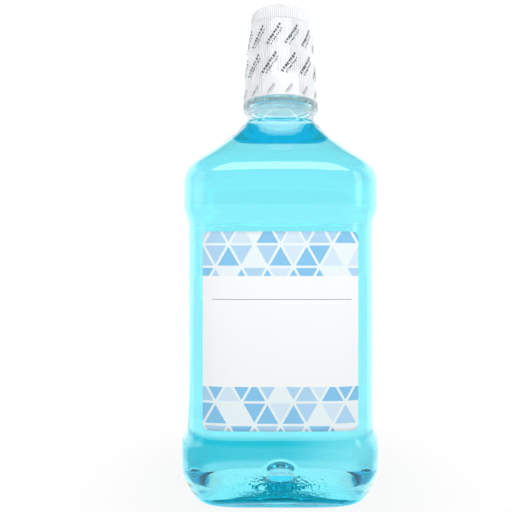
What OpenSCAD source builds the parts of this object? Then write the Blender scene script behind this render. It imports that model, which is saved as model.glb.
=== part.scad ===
// Mouthwash bottle, 1.5 litre: a blow-moulded oblong bottle with a tall dosing cap, a seal ring,
// a two-part shrink band and a front label. Millimetres. The origin is the middle of the foot, +Z is
// up and the label faces -Y.

/* [Body] */
// Width of the body at its base
base_w = 110.6; // [100:0.1:125]
// Depth of the body at its base
base_d = 85; // [78:0.1:94]
// Width of the label panel
panel_w = 104.2; // [94:0.1:108]
// Depth of the label panel
panel_d = 82; // [74:0.1:84]
// Width at the top of the panel, under the shoulder
shoulder_w = 108.8; // [100:0.1:122]
// Depth at the top of the panel, under the shoulder
shoulder_d = 87.5; // [82.5:0.1:92]
// Squareness of the body's section, as a superellipse exponent
body_power = 5; // [3:0.1:6]
// Height where the base bulge turns in to the panel
base_top = 30; // [26:0.5:34]
// Height where the label panel starts
panel_low = 42; // [37:0.5:44]
// Height where the label panel ends
panel_top = 151; // [149:0.5:153]
// Height where the shoulder bulge is full
bulge_low = 162; // [158:0.5:168]
// Height where the shoulder starts to round over
shoulder_z = 174; // [170:0.5:180]
// Height where the shoulder meets the neck
neck_low = 217; // [213:0.5:219]
// Thickness of the body's wall
wall = 0.6; // [0.4:0.05:1]

/* [Base] */
// Height of the rounded heel
heel_h = 20; // [14:0.5:24]
// How far the heel draws in to the foot
heel_in = 9; // [6:0.1:11]
// Width of the flat foot that the bottle stands on
foot_w = 4; // [3:0.1:6]
// Height to which the underside rises where its dome starts
push_up = 9; // [6:0.1:11]
// Radius of the dome in the middle of the base
dome_r = 10.5; // [8:0.1:13]
// Height of that dome above the foot
dome_h = 16; // [12:0.1:19]

/* [Neck] */
// Outer radius of the neck under the support flange
neck_base_r = 19.5; // [18.9:0.1:20.1]
// Radius of the support flange
flange_r = 22.4; // [21.5:0.1:22.5]
// Height of the underside of the support flange
flange_low = 220.6; // [220.2:0.1:221]
// Thickness of the support flange
flange_t = 3; // [2:0.1:3.1]
// Bevel on the edges of the support flange
flange_bevel = 0.5; // [0.2:0.05:0.8]
// How much thicker the wall is where the neck starts
neck_extra = 0.2; // [0.1:0.05:0.4]
// Outer radius of the neck finish, without its thread
finish_r = 17.6; // [17:0.1:17.8]
// Radius of the bore
bore_r = 15.8; // [14.5:0.1:16]
// Height of the mouth
mouth_z = 245; // [243:0.5:246]
// Rounding of the mouth's lip
lip_r = 0.4; // [0.2:0.05:0.6]
// Radius to the tip of the two child-resistant lugs
lug_r = 19.3; // [18.6:0.1:19.5]
// Height of the top of those lugs
lug_top = 228.6; // [227:0.1:229.5]
// Angle that each lug spans
lug_angle = 16; // [10:1:24]

/* [Cap] */
// Gap between the flange and the cap's rim
rim_gap = 0.4; // [0.3:0.05:1]
// Height of the cap
cap_h = 53; // [50:0.5:60]
// Radius over the flutes at the rim
cap_rim_r = 22.5; // [22.2:0.05:23.2]
// Radius over the flutes at the top
cap_top_r = 17.5; // [17.2:0.05:18.5]
// Number of flutes
flutes = 96; // [60:4:120]
// Depth of a flute
flute_depth = 0.35; // [0.2:0.05:0.5]
// Height of the plain band at the rim
rim_band = 0.9; // [0.5:0.1:2]
// Rounding of the cap's top edge
cap_edge_r = 1.7; // [1:0.1:2.5]
// Thickness of the outer skirt and the cup's wall
cap_wall = 1.1; // [0.8:0.05:1.3]
// Thickness of the cap's top
cap_top_t = 1.3; // [1:0.1:2.5]
// Height of the smooth squeeze pads
pad_h = 13.7; // [9:0.1:18]
// Half the angle that each squeeze pad spans
pad_angle = 29; // [18:1:40]
// Clearance between the neck finish and the bore of the threaded skirt, where the thread lies
thread_room = 1.5; // [1.3:0.05:1.6]
// Thickness of the threaded skirt
skirt_t = 0.9; // [0.7:0.05:1.1]
// Height of the rim of the threaded skirt above the cap's rim
skirt_up = 6.2; // [5.6:0.1:9]
// Radius of the dosing cup beside the ledge that seals
cup_r = 17; // [16.6:0.1:17.2]
// Radius of the dosing cup at its floor
cup_floor_r = 16.1; // [15:0.1:16.2]
// Radial clearance between the cap's lugs and the bottle's lugs when the pads are squeezed
lug_gap = 0.4; // [0.3:0.05:0.6]

/* [Seal ring] */
// Thickness of the seal ring
seal_t = 1; // [0.6:0.1:1.5]
// Inner radius of the seal ring
seal_in_r = 16.4; // [16.1:0.1:16.8]
// Gap between the seal ring and the threaded skirt
seal_gap = 0.3; // [0.2:0.05:0.5]

/* [Shrink band] */
// Thickness of the film
film_t = 0.2; // [0.15:0.05:0.3]
// Gap between the film and the cap
film_gap = 0.3; // [0.3:0.05:0.4]
// Height of the upper edge of the film above the cap's rim
sleeve_h = 45.2; // [38:0.2:47]
// Gap between the two parts at the perforation
tear_gap = 0.3; // [0.3:0.05:0.5]
// Outer radius of the film where it is widest, round the flange
collar_r = 23.2; // [23:0.05:23.6]
// Outer radius of the film's lower edge
collar_low_r = 20.2; // [20.2:0.05:21]
// Height of the film's lower edge above the foot of the neck
collar_low = 0; // [0:0.1:1]

/* [Label] */
// Width of the label
label_w = 81.3; // [60:0.1:86]
// Height of the label
label_h = 103.5; // [80:0.1:105]
// Height of the label's lower edge above the start of the panel
label_up = 1.4; // [0.2:0.1:6]
// Radius of the label's corners
label_corner = 3; // [1:0.5:8]
// Thickness of the label
label_t = 0.2; // [0.1:0.05:0.4]
// Gap between the label and the panel
label_gap = 0.15; // [0.1:0.05:0.3]

/* [Mouthwash] */
// Height of the liquid's surface above the foot
fill_z = 211; // [120:0.2:214]
// Gap between the liquid and the wall
fill_gap = 0.1; // [0.05:0.05:0.3]

/* [Hidden] */

plastic = [0.78, 0.93, 0.95, 0.35];
liquid = [0.42, 0.86, 0.93, 0.75];
cap_white = [0.93, 0.94, 0.94];
seal_white = [0.88, 0.9, 0.92];
film = [0.86, 0.9, 0.94, 0.4];
paper = [0.72, 0.86, 0.95];

sides = 40;                        // points round the body
round_power = 2;                   // the exponent of a circle
over = 0.5;                        // overrun of a cut or a joint
quarter = 90;                      // a quarter turn

// Half sizes of the body at its stations
base_a = base_w / 2;
base_b = base_d / 2;
panel_a = panel_w / 2;
panel_b = panel_d / 2;
shoulder_a = shoulder_w / 2;
shoulder_b = shoulder_d / 2;

// Shares of height against inset, or of height against the way from one width to the next. The
// shoulder has a share of its width and one of its depth at each height.
heel_shares = [[0, 1], [0.03, 0.9], [0.07, 0.82], [0.13, 0.73], [0.25, 0.58], [0.4, 0.41],
               [0.55, 0.27], [0.76, 0.07], [1, 0]];
turn_in_shares = [[0, 0], [0.14, 0.05], [0.34, 0.22], [0.56, 0.6], [0.78, 0.92], [1, 1]];
turn_out_shares = [[0, 0], [0.16, 0.08], [0.4, 0.36], [0.6, 0.7], [0.8, 0.94], [1, 1]];
shoulder_shares = [[0, 1, 1], [0.081, 0.993, 0.993], [0.163, 0.963, 0.955], [0.209, 0.926, 0.926],
                   [0.256, 0.876, 0.883], [0.302, 0.82, 0.817], [0.349, 0.756, 0.738],
                   [0.442, 0.624, 0.574], [0.535, 0.487, 0.411], [0.628, 0.355, 0.249],
                   [0.674, 0.295, 0.178], [0.721, 0.24, 0.119], [0.767, 0.186, 0.074],
                   [0.837, 0.117, 0.031], [0.93, 0.035, 0.004]];
base_under_shares = [[1, 0], [0.95, 0.24], [0.8, 0.44], [0.3, 0.82]];
dome_shares = [[1, 0], [0.82, 0.5], [0.5, 0.88], [0.22, 0.99]];

function mix(p, q, s) = p + (q - p) * s;
// The section rounds off towards the neck
function power_at(share) = mix(body_power, round_power, 1 - pow(1 - share, 0.8));

// Stations of the body's outside from the foot up: [height, half width, half depth, exponent]
side = concat(
    [for (s = heel_shares) [heel_h * s[0], base_a - heel_in * s[1], base_b - heel_in * s[1],
                            body_power]],
    [for (s = turn_in_shares) [mix(base_top, panel_low, s[0]), mix(base_a, panel_a, s[1]),
                               mix(base_b, panel_b, s[1]), body_power]],
    [for (s = turn_out_shares) [mix(panel_top, bulge_low, s[0]), mix(panel_a, shoulder_a, s[1]),
                                mix(panel_b, shoulder_b, s[1]), body_power]],
    [for (s = shoulder_shares) [mix(shoulder_z, neck_low, s[0]), mix(neck_base_r, shoulder_a, s[1]),
                                mix(neck_base_r, shoulder_b, s[2]), power_at(s[0])]]);
side_a = [for (s = side) [s[0], s[1]]];
side_b = [for (s = side) [s[0], s[2]]];
side_power = [for (s = side) [s[0], s[3]]];

// One level ring of points, a superellipse
function to_power(v, p) = sign(v) * pow(abs(v), p);
function ring(a, b, power, z) =
    [for (i = [0 : sides - 1]) let (t = 360 * i / sides)
        [a * to_power(cos(t), 2 / power), b * to_power(sin(t), 2 / power), z]];

// The body's skin, t inside its outside, from its highest ring down to the foot
function skin_side(t, top) = [for (i = [len(side) - 1 : -1 : 0]) let (s = side[i], z = skin_z(s[0], t))
    if (z < top) ring(s[1] - t, s[2] - t, s[3], z)];
function skin_z(z, t) = z < heel_h ? mix(t, heel_h, z / heel_h) : z;

// The skin under the base, t above it, from the foot to the middle of the dome
foot_a = base_a - heel_in - foot_w;
foot_b = base_b - heel_in - foot_w;
function skin_under(t) = concat(
    [for (s = base_under_shares) ring(mix(dome_r, foot_a, s[0]) + t, mix(dome_r, foot_b, s[0]) + t,
                                      mix(round_power, body_power, s[0] * s[0]),
                                      push_up * s[1] + t)],
    [for (s = dome_shares) ring(dome_r * s[0] + t, dome_r * s[0] + t, round_power,
                                mix(push_up, dome_h, s[1]) + t)]);

function reversed(list) = [for (i = [len(list) - 1 : -1 : 0]) list[i]];

// A closed skin over rings of n points each, with a fan to a middle point at both ends
module loft(rings, start, end) {
    n = len(rings[0]);
    m = len(rings);
    polyhedron(
        points = concat([for (r = rings) each r], [start, end]),
        faces = concat(
            [for (k = [0 : m - 2]) for (i = [0 : n - 1]) let (j = (i + 1) % n)
                each [[k * n + i, k * n + j, (k + 1) * n + j],
                      [k * n + i, (k + 1) * n + j, (k + 1) * n + i]]],
            [for (i = [0 : n - 1]) let (j = (i + 1) % n) [m * n, j, i]],
            [for (i = [0 : n - 1]) let (j = (i + 1) % n) [m * n + 1, (m - 1) * n + i, (m - 1) * n + j]]),
        convexity = 8);
}

// Neck
flange_top = flange_low + flange_t;
neck_in_r = neck_base_r - wall - neck_extra;
neck_root = neck_low + 2 * over;           // the body's skin ends inside the neck's wall

module lug(r_in, r_out, low, high, angle, at) {
    rotate([0, 0, at - angle / 2]) rotate_extrude(angle = angle, $fn = 96)
        translate([r_in, low]) square([r_out - r_in, high - low]);
}

module neck() {
    rotate_extrude($fn = 96) polygon([
        [neck_in_r, neck_low], [neck_base_r, neck_low], [neck_base_r, flange_low],
        [flange_r - flange_bevel, flange_low], [flange_r, flange_low + flange_bevel],
        [flange_r, flange_top - flange_bevel], [flange_r - flange_bevel, flange_top],
        [finish_r, flange_top], [finish_r, mouth_z - lip_r], [finish_r - lip_r, mouth_z],
        [bore_r + lip_r, mouth_z], [bore_r, mouth_z - lip_r],
        [bore_r, flange_low], [neck_in_r, neck_root + over]]);
    for (at = [0, 180])
        lug(finish_r - over, lug_r, flange_top - over, lug_top, lug_angle, at);
}

module bottle() {
    color(plastic) union() {
        loft(concat(reversed(skin_under(wall)), reversed(skin_side(wall, neck_low)),
                    [ring(neck_in_r + neck_extra / 2, neck_in_r + neck_extra / 2, round_power, neck_root),
                     ring(neck_base_r - neck_extra / 2, neck_base_r - neck_extra / 2, round_power, neck_root)],
                    skin_side(0, neck_low), skin_under(0)),
             [0, 0, dome_h + wall], [0, 0, dome_h]);
        neck();
    }
}

// Mouthwash
module mouthwash_fill() {
    t = wall + fill_gap;
    color(liquid)
        loft(concat([ring(lookup(fill_z, side_a) - t, lookup(fill_z, side_b) - t,
                          lookup(fill_z, side_power), fill_z)],
                    skin_side(t, fill_z), skin_under(t)),
             [0, 0, fill_z], [0, 0, dome_h + t]);
}

// Cap
rim_z = flange_top + rim_gap;
cap_top = rim_z + cap_h;
function cap_r(z) = mix(cap_rim_r, cap_top_r, (z - rim_z) / cap_h);
pad_top = rim_z + pad_h;
pad_blend = flute_depth;

// A ring of the fluted outside: every second point lies in a flute, but not on the squeeze pads
function in_pad(t) = abs(abs(t - 2 * quarter) - quarter) < pad_angle;
function flute_ring(z, r, share, pads) =
    [for (i = [0 : 2 * flutes - 1]) let (t = 180 * i / flutes,
        d = i % 2 == 1 && !(pads && in_pad(t)) ? flute_depth * share : 0)
        [(r - d) * cos(t), (r - d) * sin(t), z]];
edge_steps = 3;
edge_z = cap_top - cap_edge_r;
skirt_bore = finish_r + thread_room;
skirt_out = skirt_bore + skirt_t;
skirt_low = rim_z + skirt_up;
seat_z = mouth_z + seal_t;                  // the ledge that presses the seal ring on the mouth
cup_floor = cap_top - cap_top_t;
function shell_in(z) = cap_r(z) - flute_depth - cap_wall;
// Where the inside of the tapered outer skirt meets the threaded skirt
join_z = rim_z + cap_h * (shell_in(rim_z) - skirt_out) / (cap_rim_r - cap_top_r);
cap_lug_r = lug_r + lug_gap;

module cap_outside() {
    loft(concat(
        [for (k = [edge_steps : -1 : 1]) let (t = quarter * k / edge_steps)
            flute_ring(edge_z + cap_edge_r * sin(t), cap_r(edge_z) - cap_edge_r * (1 - cos(t)),
                       0, false)],
        [flute_ring(edge_z, cap_r(edge_z), 0, false),
         flute_ring(edge_z - rim_band, cap_r(edge_z - rim_band), 1, false),
         flute_ring(pad_top + pad_blend, cap_r(pad_top + pad_blend), 1, false),
         flute_ring(pad_top, cap_r(pad_top), 1, true),
         flute_ring(rim_z + rim_band + pad_blend, cap_r(rim_z + rim_band + pad_blend), 1, true),
         flute_ring(rim_z + rim_band, cap_r(rim_z + rim_band), 0, true),
         flute_ring(rim_z, cap_rim_r, 0, true)]),
        [0, 0, cap_top], [0, 0, rim_z]);
}

module cap() {
    color(cap_white) union() {
        difference() {
            cap_outside();
            rotate_extrude($fn = 96) polygon([
                [0, rim_z - over], [shell_in(rim_z), rim_z - over], [shell_in(rim_z), rim_z],
                [skirt_out, join_z], [skirt_out, skirt_low], [skirt_bore, skirt_low],
                [skirt_bore, seat_z], [cup_r, seat_z], [cup_floor_r, cup_floor], [0, cup_floor]]);
        }
        for (at = [0, 180])
            lug(cap_lug_r, shell_in(lug_top) + flute_depth, rim_z + flute_depth,
                lug_top - flute_depth, lug_angle, at + 2 * lug_angle);
    }
}

// Seal ring
module cap_seal_ring() {
    color(seal_white) rotate_extrude($fn = 96) translate([seal_in_r, mouth_z])
        square([skirt_bore - seal_gap - seal_in_r, seal_t]);
}

// Shrink band
module film_wall(outline) {
    rotate_extrude($fn = 96)
        polygon(concat(outline, [for (p = reversed(outline)) [p[0] - film_t, p[1]]]));
}

sleeve_low = rim_z;
sleeve_top = rim_z + sleeve_h;
film_out = film_gap + film_t;

module band_sleeve() {
    color(film) film_wall([[cap_r(sleeve_low) + film_out, sleeve_low],
                           [cap_r(sleeve_top) + film_out, sleeve_top]]);
}

collar_foot = neck_low + collar_low;
collar_top = sleeve_low - tear_gap;

module band_collar() {
    color(film) film_wall([
        [collar_low_r, collar_foot],
        [mix(collar_low_r, collar_r, 0.76), mix(collar_foot, flange_low, 0.7)],
        [mix(collar_low_r, collar_r, 0.94), flange_low],
        [collar_r, mix(flange_low, flange_top, 0.5)],
        [mix(collar_r, cap_rim_r + film_out, 0.5), mix(flange_top, flange_low, 0.15)],
        [cap_rim_r + film_out, collar_top]]);
}

// Label
label_low = panel_low + label_up;
label_mid = label_low + label_h / 2;
corner_steps = 4;
// Columns of the label at its side edges, with the drop of its corner at each
corner_columns = [for (k = [0 : corner_steps]) let (t = quarter * k / corner_steps)
    [label_w / 2 - label_corner * (1 - sin(t)), label_corner * (1 - cos(t))]];
// Between them it follows the flats of the panel's own section
flat_columns = [for (p = ring(panel_a, panel_b, body_power, 0))
    if (p[1] < 0 && abs(p[0]) < label_w / 2 - label_corner) [p[0], 0]];
label_columns = concat([for (c = reversed(corner_columns)) [-c[0], c[1]]], flat_columns, corner_columns);
function panel_y(x, gap) =
    (panel_b + gap) * pow(1 - pow(abs(x) / (panel_a + gap), body_power), 1 / body_power);

module front_label() {
    half = label_h / 2;
    columns = [for (c = label_columns) let (
        near = -panel_y(c[0], label_gap), far = -panel_y(c[0], label_gap + label_t), h = half - c[1])
        [[c[0], near, label_mid - h], [c[0], far, label_mid - h],
         [c[0], far, label_mid + h], [c[0], near, label_mid + h]]];
    x = label_w / 2;
    y = -panel_y(x, label_gap + label_t / 2);
    color(paper) loft(columns, [-x, y, label_mid], [x, y, label_mid]);
}

bottle();
mouthwash_fill();
cap();
cap_seal_ring();
band_sleeve();
band_collar();
front_label();
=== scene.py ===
import math
import bpy
import numpy as np
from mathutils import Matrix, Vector


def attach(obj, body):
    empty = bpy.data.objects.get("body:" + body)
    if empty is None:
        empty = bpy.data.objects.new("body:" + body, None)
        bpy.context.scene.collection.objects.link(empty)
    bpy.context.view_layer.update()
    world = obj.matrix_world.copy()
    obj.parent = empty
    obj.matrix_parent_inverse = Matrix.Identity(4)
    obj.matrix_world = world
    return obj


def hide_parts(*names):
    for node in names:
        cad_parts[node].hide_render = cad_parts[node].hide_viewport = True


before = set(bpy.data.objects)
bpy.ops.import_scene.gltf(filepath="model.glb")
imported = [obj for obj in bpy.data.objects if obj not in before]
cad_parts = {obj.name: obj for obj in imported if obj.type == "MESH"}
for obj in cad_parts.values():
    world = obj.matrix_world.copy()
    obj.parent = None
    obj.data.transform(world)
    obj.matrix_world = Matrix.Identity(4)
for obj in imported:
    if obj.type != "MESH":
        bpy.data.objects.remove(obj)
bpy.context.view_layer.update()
print("frame: CAD model loaded")

mm = 0.001
white = (1, 1, 1, 1)


def smoothStep(x, low, high):
    t = np.clip((np.asarray(x, float) - low) / (high - low), 0, 1)
    return t * t * (3 - 2 * t)


def mix(p, q, s):
    return p + (q - p) * s


def softCurve(xs, ys, at):
    # monotone cubic through the stations, so the skin bends without overshooting them
    xs, ys, at = np.array(xs, float), np.array(ys, float), np.array(at, float)
    step = np.diff(xs)
    slope = np.diff(ys) / step
    tangent = np.zeros(len(xs))
    inner = slope[:-1] * slope[1:] > 0
    w1, w2 = 2 * step[1:] + step[:-1], step[1:] + 2 * step[:-1]
    with np.errstate(divide="ignore", invalid="ignore"):
        blended = (w1 + w2) / (w1 / slope[:-1] + w2 / slope[1:])
    tangent[1:-1] = np.where(inner, blended, 0)
    tangent[0], tangent[-1] = slope[0], slope[-1]
    k = np.clip(np.searchsorted(xs, at) - 1, 0, len(xs) - 2)
    t = (at - xs[k]) / step[k]
    return ((2 * t**3 - 3 * t**2 + 1) * ys[k] + (t**3 - 2 * t**2 + t) * step[k] * tangent[k]
            + (3 * t**2 - 2 * t**3) * ys[k + 1] + (t**3 - t**2) * step[k] * tangent[k + 1])


def quarter(count):
    # angles from nought to a right angle, for a rounded edge
    return [math.pi / 2 * k / (count - 1) for k in range(count)]


def evenAngles(count):
    return np.linspace(0, 2 * math.pi, count, endpoint=False)


def turnedRing(r, angles, z):
    # a ring round the axis, with one radius or with one for each angle
    return np.stack([r * np.cos(angles), r * np.sin(angles), np.full(len(angles), float(z))], 1)


def ringStack(rings, closed=True):
    # quads between rings of equal length, with a fan to the middle at both closed ends
    rings = np.array(rings)
    count, around, _ = rings.shape
    verts = rings.reshape(-1, 3)
    i = np.arange(around)
    j = (i + 1) % around
    quads = [np.stack([k * around + i, (k + 1) * around + i, (k + 1) * around + j, k * around + j], 1)
             for k in range(count - 1)]
    faces = np.concatenate(quads).tolist()
    if closed:
        last = (count - 1) * around
        first = len(verts)
        faces += [[first, int(a), int(b)] for a, b in zip(i, j)]
        faces += [[first + 1, last + int(b), last + int(a)] for a, b in zip(i, j)]
        verts = np.concatenate([verts, [rings[0].mean(0), rings[-1].mean(0)]])
    return verts, faces


def loopStack(rings):
    # the last ring is joined to the first, as in a tube with a wall
    verts, faces = ringStack(rings, closed=False)
    around = len(rings[0])
    last = len(verts) - around
    faces += [[last + i, i, (i + 1) % around, last + (i + 1) % around] for i in range(around)]
    return verts, faces


def addPiece(name, verts, faces, material, smooth=True):
    mesh = bpy.data.meshes.new(name)
    mesh.from_pydata((np.asarray(verts) * mm).tolist(), [], faces)
    mesh.validate()
    mesh.update()
    if smooth:
        mesh.polygons.foreach_set("use_smooth", [True] * len(mesh.polygons))
    piece = bpy.data.objects.new(name, mesh)
    bpy.context.scene.collection.objects.link(piece)
    if material:
        mesh.materials.append(material)
    return piece


def pointValues(piece, name, values):
    # a number for each point, which a material or a node tree reads by its name
    attribute = piece.data.attributes.new(name, "FLOAT", "POINT")
    attribute.data.foreach_set("value", values)


def newMaterial(name):
    material = bpy.data.materials.new(name)
    material.use_nodes = True
    nodes = material.node_tree.nodes
    return material, material.node_tree, nodes["Principled BSDF"], nodes["Material Output"]


def feed(tree, node, inputs):
    # a node's inputs, given as values or as sockets to link
    for key, value in inputs.items():
        if isinstance(value, bpy.types.NodeSocket):
            tree.links.new(value, node.inputs[key])
        else:
            node.inputs[key].default_value = value


def addNode(tree, kind, inputs=None, **settings):
    node = tree.nodes.new(kind)
    for key, value in settings.items():
        setattr(node, key, value)
    feed(tree, node, inputs or {})
    return node


def calc(tree, operation, *values, clamp=False):
    node = addNode(tree, "ShaderNodeMath", dict(enumerate(values)), operation=operation)
    node.use_clamp = clamp
    return node.outputs[0]


def product(tree, first, *others):
    for other in others:
        first = calc(tree, "MULTIPLY", first, other)
    return first


def evenRamp(tree, value, low, high, start=0.0, end=1.0, kind="LINEAR"):
    inputs = {"Value": value, "From Min": low, "From Max": high, "To Min": start, "To Max": end}
    return addNode(tree, "ShaderNodeMapRange", inputs, interpolation_type=kind).outputs[0]


def softRamp(tree, value, low, high, start=0.0, end=1.0):
    # a smooth step from one result to another
    return evenRamp(tree, value, low, high, start, end, "SMOOTHSTEP")


def blend(tree, kind, factor, a, b):
    # between two numbers (FLOAT) or two colours (RGBA)
    node = addNode(tree, "ShaderNodeMix", {"Factor": factor, "A": a, "B": b}, data_type=kind)
    return node.outputs["Result"]


def joinShaders(tree, factor, a, b):
    return addNode(tree, "ShaderNodeMixShader", {0: factor, 1: a.outputs[0], 2: b.outputs[0]})


def splitXyz(tree, vector):
    return addNode(tree, "ShaderNodeSeparateXYZ", {0: vector}).outputs


def joinXyz(tree, x, y, z):
    return addNode(tree, "ShaderNodeCombineXYZ", {0: x, 1: y, 2: z}).outputs[0]


def objectPlace(tree):
    return addNode(tree, "ShaderNodeTexCoord").outputs["Object"]


def bumpNormal(tree, height, strength, distance, normal=None):
    inputs = {"Height": height, "Strength": strength, "Distance": distance}
    if normal is not None:
        inputs["Normal"] = normal
    return addNode(tree, "ShaderNodeBump", inputs).outputs["Normal"]


def colourStops(tree, factor, stops, interpolation="LINEAR"):
    node = addNode(tree, "ShaderNodeValToRGB", {"Fac": factor})
    node.color_ramp.interpolation = interpolation
    elements = node.color_ramp.elements
    for k, (at, colour) in enumerate(stops):
        stop = elements[k] if k < 2 else elements.new(at)
        stop.position, stop.color = at, colour
    return node.outputs[0]


# the body's outside in millimetres, as the CAD sections give it; each curve is a list of
# shares of the height and of the way between two widths
bodyShape = {
    "baseWidth": 110.6, "baseDepth": 85, "panelWidth": 104.2, "panelDepth": 82,
    "shoulderWidth": 108.8, "shoulderDepth": 87.5, "squareness": 5, "rounding": 0.8,
    "baseTop": 30, "panelLow": 42, "panelTop": 151, "bulgeLow": 162, "shoulderLow": 174,
    "neckLow": 217, "innerTop": 216.9, "outerTop": 217.1,
    "wall": 0.6, "heelHeight": 20, "heelIn": 9, "footWidth": 4,
    "pushUp": 9, "domeRadius": 10.5, "domeHeight": 16, "domeFullness": 0.9,
    "under": [(0, 1), (0.3, 0.82), (0.55, 0.63), (0.8, 0.44), (0.88, 0.37), (0.95, 0.24), (1, 0)],
    "heel": [(0, 1), (0.03, 0.9), (0.07, 0.82), (0.13, 0.73), (0.25, 0.58), (0.4, 0.41),
             (0.55, 0.27), (0.76, 0.07), (1, 0)],
    "turnIn": [(0, 0), (0.14, 0.05), (0.34, 0.22), (0.56, 0.6), (0.78, 0.92), (1, 1)],
    "turnOut": [(0, 0), (0.16, 0.08), (0.4, 0.36), (0.6, 0.7), (0.8, 0.94), (1, 1)],
    "shoulder": [(0, 1), (0.07, 0.994), (0.12, 0.982), (0.163, 0.963), (0.209, 0.926),
                 (0.256, 0.876), (0.302, 0.82), (0.395, 0.691), (0.488, 0.557), (0.581, 0.417),
                 (0.674, 0.295), (0.767, 0.186), (0.86, 0.094), (0.93, 0.035), (1, 0)],
    "shoulderFront": [(0, 1), (0.047, 0.999), (0.081, 0.993), (0.116, 0.98), (0.163, 0.957),
                      (0.209, 0.93), (0.256, 0.888), (0.302, 0.825), (0.348, 0.75), (0.391, 0.673),
                      (0.435, 0.595), (0.478, 0.52), (0.522, 0.448), (0.565, 0.378), (0.609, 0.309),
                      (0.652, 0.243), (0.696, 0.178), (0.739, 0.115), (0.783, 0.053), (0.805, 0.024),
                      (0.82, 0.009), (0.84, 0.001), (1, 0)],
    # how many rings each part of the height has, after those of the heel
    "columns": 200, "heelRings": 22, "domeRings": 14,
    "rings": [("heelHeight", "baseTop", 5), ("baseTop", "panelLow", 15),
              ("panelLow", "panelTop", 14), ("panelTop", "bulgeLow", 14),
              ("bulgeLow", "shoulderLow", 5), ("shoulderLow", "neckLow", 48)],
    "underShares": [0, 0.02, 0.04, 0.06, 0.08, 0.11, 0.15, 0.2, 0.3, 0.42, 0.55, 0.7, 0.85, 0.95],
}
neckShape = {
    "baseRadius": 19.5, "rootHeights": (217.6, 218.6, 219.6, 220.2), "rootWall": 0.8,
    # small fillets under and over the flange: how far out from the neck and up from the flange
    "underFlange": ((0.15, -0.1), (0.5, 0.0)), "overFlange": ((0.4, 0.01), (0.1, 0.25)),
    "plainFrom": 0.6, "plainStep": 0.45,
    "flangeRadius": 22.4, "flangeLow": 220.6, "flangeThick": 3, "bevel": 0.5, "ledgeRadius": 19.6,
    "finishRadius": 17.6, "finishTop": 243.4, "boreRadius": 15.8, "mouth": 245, "lip": 0.4,
    "threadLead": 8, "threadStarts": 2, "threadDepth": 1.15, "threadLow": 231.5, "threadHigh": 242.5,
    "threadCrest": 0.35, "threadFoot": 1.05, "threadFade": 1.6, "threadStep": 0.2,
    "lugRadius": 19.3, "lugTop": 228.6, "lugAngle": 16, "lugFade": 0.5, "lugFlank": 0.2,
    "boreHeights": (243, 238, 233, 228, 225.5), "widenFrom": 224.8, "rootBoreHeights": (218.4, 217.4),
}


def bodyStations():
    # half width and half depth at each height that shapes the outside
    s = bodyShape
    half = {side: s[side] / 2 for side in ("baseWidth", "baseDepth", "panelWidth", "panelDepth",
                                           "shoulderWidth", "shoulderDepth")}
    rows = [(s["heelHeight"] * h, half["baseWidth"] - s["heelIn"] * i,
             half["baseDepth"] - s["heelIn"] * i) for h, i in s["heel"]]
    for curve, low, high, start, end in (("turnIn", "baseTop", "panelLow", "base", "panel"),
                                         ("turnOut", "panelTop", "bulgeLow", "panel", "shoulder")):
        rows += [(mix(s[low], s[high], h), mix(half[start + "Width"], half[end + "Width"], i),
                  mix(half[start + "Depth"], half[end + "Depth"], i)) for h, i in s[curve]]
    wide, deep = [[(mix(s["shoulderLow"], s["neckLow"], h), mix(neckShape["baseRadius"], half[side], i))
                   for h, i in s[curve]]
                  for side, curve in (("shoulderWidth", "shoulder"), ("shoulderDepth", "shoulderFront"))]
    return np.array([(z, a) for z, a, _ in rows] + wide), np.array([(z, b) for z, _, b in rows] + deep)


widths, depths = bodyStations()
turn = evenAngles(bodyShape["columns"])


def bodySection(z):
    # half width, half depth and squareness of the outside at a height
    s = bodyShape
    a, b = [softCurve(stations[:, 0], stations[:, 1], [z])[0] for stations in (widths, depths)]
    share = np.clip((z - s["shoulderLow"]) / (s["neckLow"] - s["shoulderLow"]), 0, 1)
    return a, b, mix(s["squareness"], 2, 1 - (1 - share) ** s["rounding"])


def ovalRing(a, b, power, z):
    radius = (np.abs(np.cos(turn) / a) ** power + np.abs(np.sin(turn) / b) ** power) ** (-1 / power)
    return turnedRing(radius, turn, z)


def bodyHeights():
    s = bodyShape
    parts = [s["heelHeight"] * (1 - np.cos(np.linspace(0, math.pi / 2, s["heelRings"])))]
    parts += [np.linspace(s[low], s[high], count) for low, high, count in s["rings"]]
    return np.unique(np.round(np.concatenate(parts), 4))


def sideRings(inset, top):
    rings = []
    heel = bodyShape["heelHeight"]
    for z in bodyHeights():
        at = mix(inset, heel, z / heel) if z < heel else z
        if at >= top:
            break
        a, b, power = bodySection(z)
        rings.append(ovalRing(a - inset, b - inset, power, at))
    return rings


def footHalves():
    # half width and half depth of the inner edge of the foot
    s = bodyShape
    return [s[side] / 2 - s["heelIn"] - s["footWidth"] for side in ("baseWidth", "baseDepth")]


def underRings(lift):
    # from the inner edge of the foot to the middle of the dome
    s = bodyShape
    footA, footB = footHalves()
    dome = s["domeRadius"]
    rings = []
    for share in 1 - np.array(s["underShares"]):
        rise = softCurve(*zip(*s["under"]), [share])[0]
        rings.append(ovalRing(mix(dome, footA, share) + lift, mix(dome, footB, share) + lift,
                              mix(2, s["squareness"], share * share), s["pushUp"] * rise + lift))
    for k in np.linspace(0.02, 0.97, s["domeRings"]):
        r = dome * math.cos(k * math.pi / 2) + lift * (1 - k)
        rise = math.sin(k * math.pi / 2) ** s["domeFullness"]
        rings.append(ovalRing(r, r, 2, mix(s["pushUp"], s["domeHeight"], rise) + lift))
    return rings


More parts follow.
